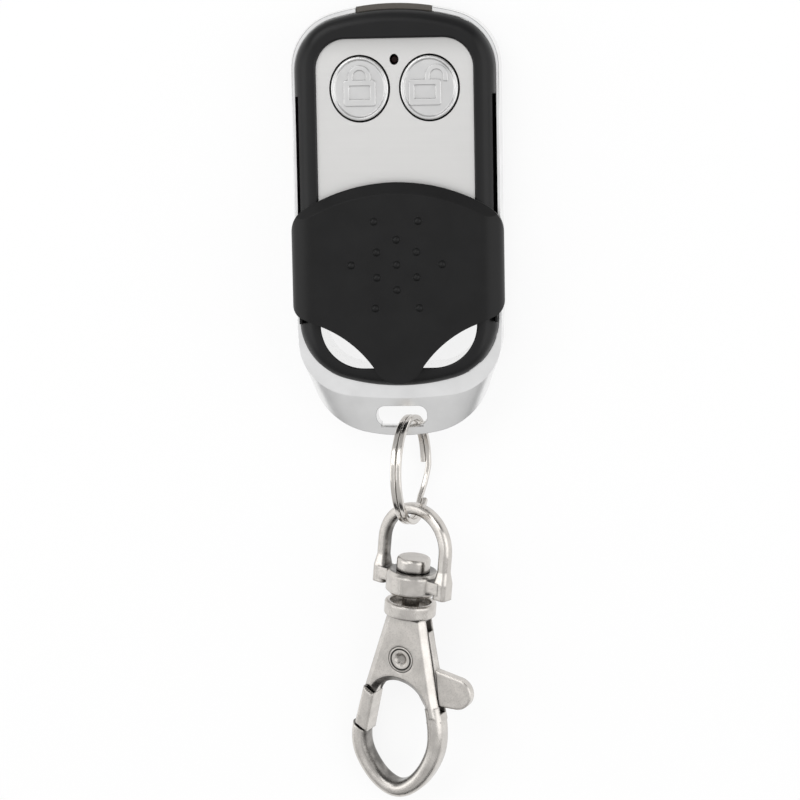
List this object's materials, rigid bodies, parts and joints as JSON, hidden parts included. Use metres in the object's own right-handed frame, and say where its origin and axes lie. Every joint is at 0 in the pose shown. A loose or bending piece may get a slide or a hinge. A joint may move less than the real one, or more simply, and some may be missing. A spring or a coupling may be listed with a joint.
{
  "type": "remote key fob with slide cover and snap hook",
  "caption": "Slim car alarm key fob: metal-framed casing with oval lock and unlock buttons under a sliding cover, hung from a split ring and a swivel snap hook.",
  "frame": {"origin": "middle of the casing's flat back face, on the surface that the fob lies on", "axes": "+Z out of the button face, +Y along the casing away from the ring, +X to the right as seen from the front"},
  "size_m": [0.0296, 0.1133, 0.0156],
  "materials": {
    "frame_chrome": "satin plated",
    "insert_metal": "brushed",
    "housing_gloss": "semi gloss moulded",
    "housing_black": "fine texture",
    "panel_aluminium": "brushed",
    "lamp_red": "clear tinted",
    "board_green": "solder mask",
    "package_black": "moulded",
    "can_metal": "plated",
    "copper": "bare trace",
    "cell_steel": "drawn",
    "contact_metal": "nickel plated",
    "screw_steel": "zinc plated",
    "cover_soft": "soft touch",
    "ring_steel": "bright nickel",
    "nickel_bail": "satin nickel",
    "nickel_post": "satin nickel",
    "nickel_hook": "satin nickel",
    "nickel_rivet": "satin nickel",
    "nickel_lever": "satin nickel",
    "spring_steel": "drawn wire",
    "button_metal": "satin",
    "silicone": "moulded",
    "plunger_black": "moulded",
    "switch_metal": "stamped"
  },
  "bodies": {
    "casing": {"chrome_frame": "frame_chrome", "top_insert": "insert_metal", "front_housing": "housing_gloss", "rear_housing": "housing_black", "face_panel": "panel_aluminium", "status_lamp": "lamp_red", "circuit_board": "board_green", "control_chip": "package_black", "rf_resonator": "can_metal", "crystal": "can_metal", "loop_aerial": "copper", "coin_cell": "cell_steel", "battery_clip": "contact_metal", "battery_contact": "contact_metal", "cover_screws": "screw_steel", "lock_switch": "switch_metal", "unlock_switch": "switch_metal"},
    "cover": {"slide_cover": "cover_soft"},
    "lock_key": {"lock_button": "button_metal", "lock_pad": "silicone", "lock_plunger": "plunger_black"},
    "unlock_key": {"unlock_button": "button_metal", "unlock_pad": "silicone", "unlock_plunger": "plunger_black"},
    "ring": {"split_ring": "ring_steel"},
    "bail": {"swivel_bail": "nickel_bail"},
    "hook": {"hook_body": "nickel_hook", "swivel_post": "nickel_post", "lever_rivet": "nickel_rivet", "lever_spring": "spring_steel"},
    "lever": {"trigger_lever": "nickel_lever"}
  },
  "joints": [
    {"name": "cover_slide", "type": "slide", "parent": "casing", "child": "cover", "axis": [0, 1, 0], "range_m": [0, 0.021]},
    {"name": "lock_press", "type": "slide", "parent": "casing", "child": "lock_key", "axis": [0, 0, -1], "range_m": [0, 0.00035], "stiffness_N_per_m": 3000},
    {"name": "unlock_press", "type": "slide", "parent": "casing", "child": "unlock_key", "axis": [0, 0, -1], "range_m": [0, 0.00035], "stiffness_N_per_m": 3000},
    {"name": "ring_swing", "type": "hinge", "parent": "casing", "child": "ring", "pos_m": [0, -0.0294, 0.00605], "axis": [1, 0, 0], "range_deg": [-20, 40]},
    {"name": "bail_swing", "type": "hinge", "parent": "ring", "child": "bail", "pos_m": [0.00151, -0.04594, 0.00737], "axis": [-0.5792, -0.0282, 0.8147], "range_deg": [-60, 60]},
    {"name": "hook_swivel", "type": "hinge", "parent": "bail", "child": "hook", "pos_m": [0.00085, -0.05257, 0.00668], "axis": [0.0988, 0.9896, 0.1045], "continuous": true},
    {"name": "trigger_open", "type": "hinge", "parent": "hook", "child": "lever", "pos_m": [-0.00011, -0.06217, 0.00566], "axis": [-0.3824, -0.0592, 0.9221], "range_deg": [0, 25], "stiffness_Nm_per_rad": 0.03, "springref_deg": -11.46}
  ]
}
